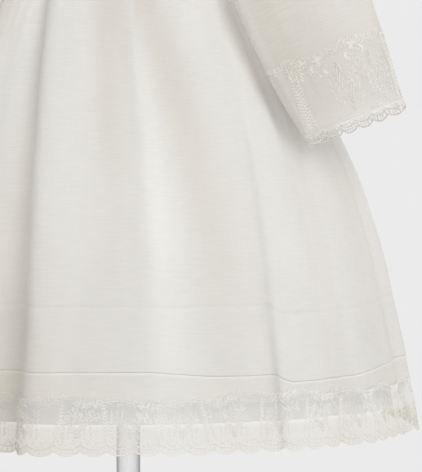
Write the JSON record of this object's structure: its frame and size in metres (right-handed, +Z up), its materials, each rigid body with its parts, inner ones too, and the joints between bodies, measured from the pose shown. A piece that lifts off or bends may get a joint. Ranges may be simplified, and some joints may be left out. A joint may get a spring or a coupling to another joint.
{
  "type": "child's lace dress on a limbless dress form",
  "caption": "Child's ivory long-sleeved dress with gathered skirt, deep tuck, lace hem and lace cuffs, shown on a limbless dress form with a clear pole and round base.",
  "frame": {"origin": "middle of the underside of the stand's round base", "axes": "+Z up, the dress front faces -Y, +X towards the wearer's left sleeve"},
  "size_m": [0.5922, 0.4866, 1.0573],
  "materials": {
    "voile": "ivory slubbed linen voile, slightly see-through, matt with a faint sheen",
    "lace": "ivory embroidery and cord on fine net, matt",
    "lining": "plain ivory cotton lawn, matt",
    "form_cover": "smooth off-white jersey over a hard form",
    "cap": "satin off-white",
    "clear_acrylic": "clear polished acrylic",
    "base": "white gloss acrylic",
    "shell_button": "pearly cream"
  },
  "bodies": {
    "root": {"stand_base": "base", "stand_pole": "clear_acrylic", "form_torso": "form_cover", "form_neck_cap": "cap", "bodice_front": "voile", "bodice_back_left": "voile", "bodice_back_right": "voile", "neck_binding": "voile", "button_1": "shell_button", "button_2": "shell_button", "button_3": "shell_button", "sleeve_left_front": "voile", "sleeve_left_back": "voile", "sleeve_right_front": "voile", "sleeve_right_back": "voile", "cuff_lace_left_front": "lace", "cuff_lace_left_back": "lace", "cuff_lace_right_front": "lace", "cuff_lace_right_back": "lace", "skirt_front": "voile", "skirt_back": "voile", "hem_band_front": "voile", "hem_band_back": "voile", "hem_lace_front": "lace", "hem_lace_back": "lace", "lining_front": "lining", "lining_back": "lining"}
  },
  "joints": []
}
